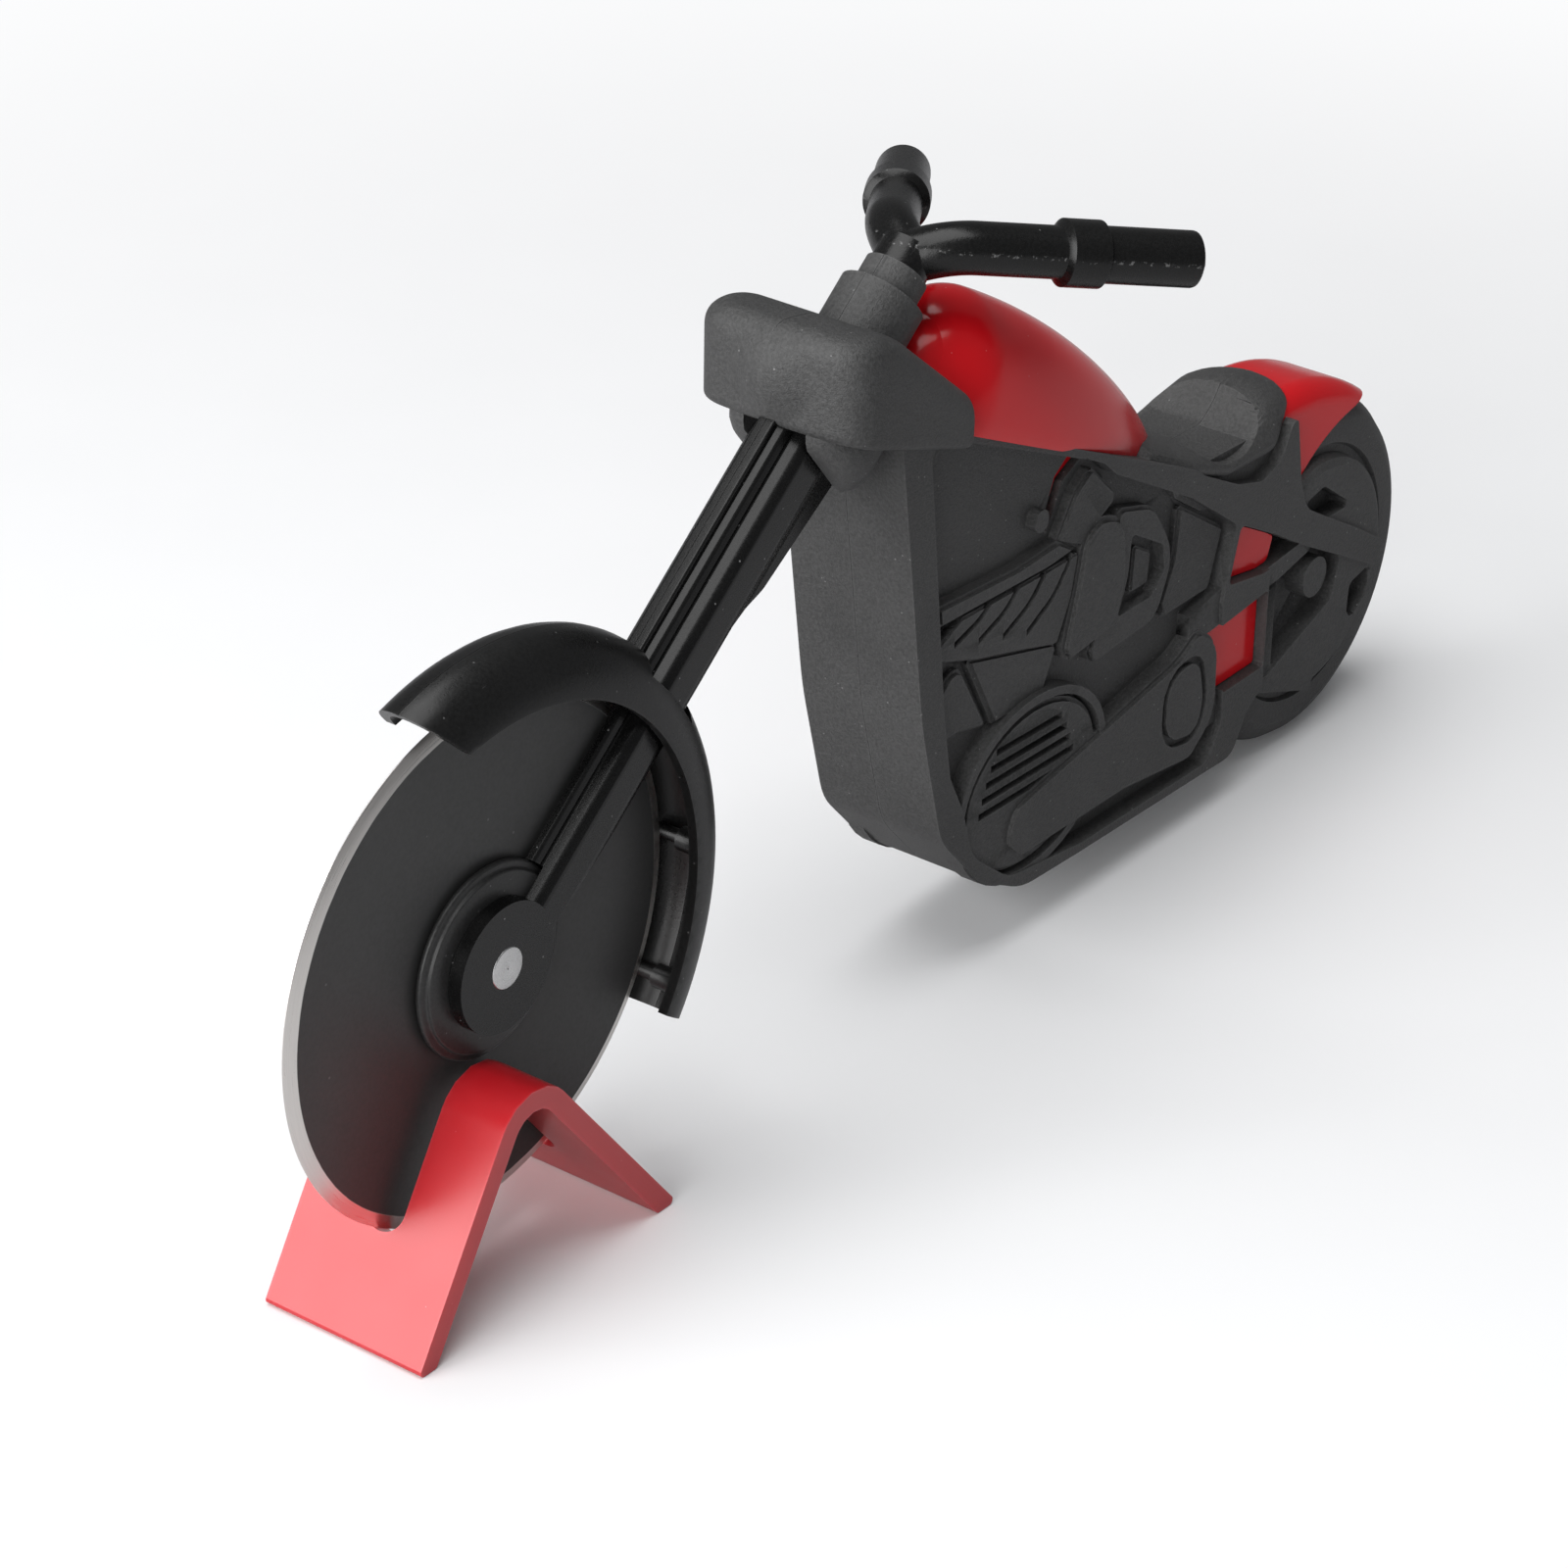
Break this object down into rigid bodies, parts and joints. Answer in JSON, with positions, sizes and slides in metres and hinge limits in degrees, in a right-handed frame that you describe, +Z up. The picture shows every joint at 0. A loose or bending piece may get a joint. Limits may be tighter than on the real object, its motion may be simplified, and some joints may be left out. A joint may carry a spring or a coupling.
{
  "type": "pizza cutter",
  "caption": "Pizza cutter shaped like a chopper motorcycle: the cutting wheel is the front wheel and stands in a slotted red rest, with black body shells, a red tank and a red rear fender.",
  "frame": {"origin": "on the table, under the middle of the whole product's length and width", "axes": "+X from the cutting wheel to the rear wheel, +Y across the machine to its right side, +Z up"},
  "size_m": [0.222, 0.0488, 0.1023],
  "materials": {
    "black_plastic": "fine-grained moulded plastic",
    "red_plastic": "glossy deep red",
    "rest_plastic": "satin, slightly translucent red",
    "blade_coating": "matte non-stick coating with a bare ground bevel",
    "bush_plastic": "natural low-friction plastic",
    "steel": "turned and polished"
  },
  "bodies": {
    "cutter": {"body_left": "black_plastic", "body_right": "black_plastic", "core": "red_plastic", "fork_left": "black_plastic", "fork_right": "black_plastic", "handlebar": "black_plastic", "fender_left": "black_plastic", "fender_right": "black_plastic", "washer_left": "black_plastic", "washer_right": "black_plastic", "axle_pin": "steel", "body_screws": "steel"},
    "wheel": {"blade": "blade_coating", "blade_bush": "bush_plastic"},
    "rest": {"blade_rest": "rest_plastic"}
  },
  "joints": [
    {"name": "wheel_spin", "type": "hinge", "parent": "cutter", "child": "wheel", "pos_m": [-0.07855, 0, 0.0392], "axis": [0, 1, 0], "continuous": true},
    {"name": "rest_lift", "type": "slide", "parent": "cutter", "child": "rest", "axis": [0, 0, -1], "range_m": [0, 0.06]}
  ]
}
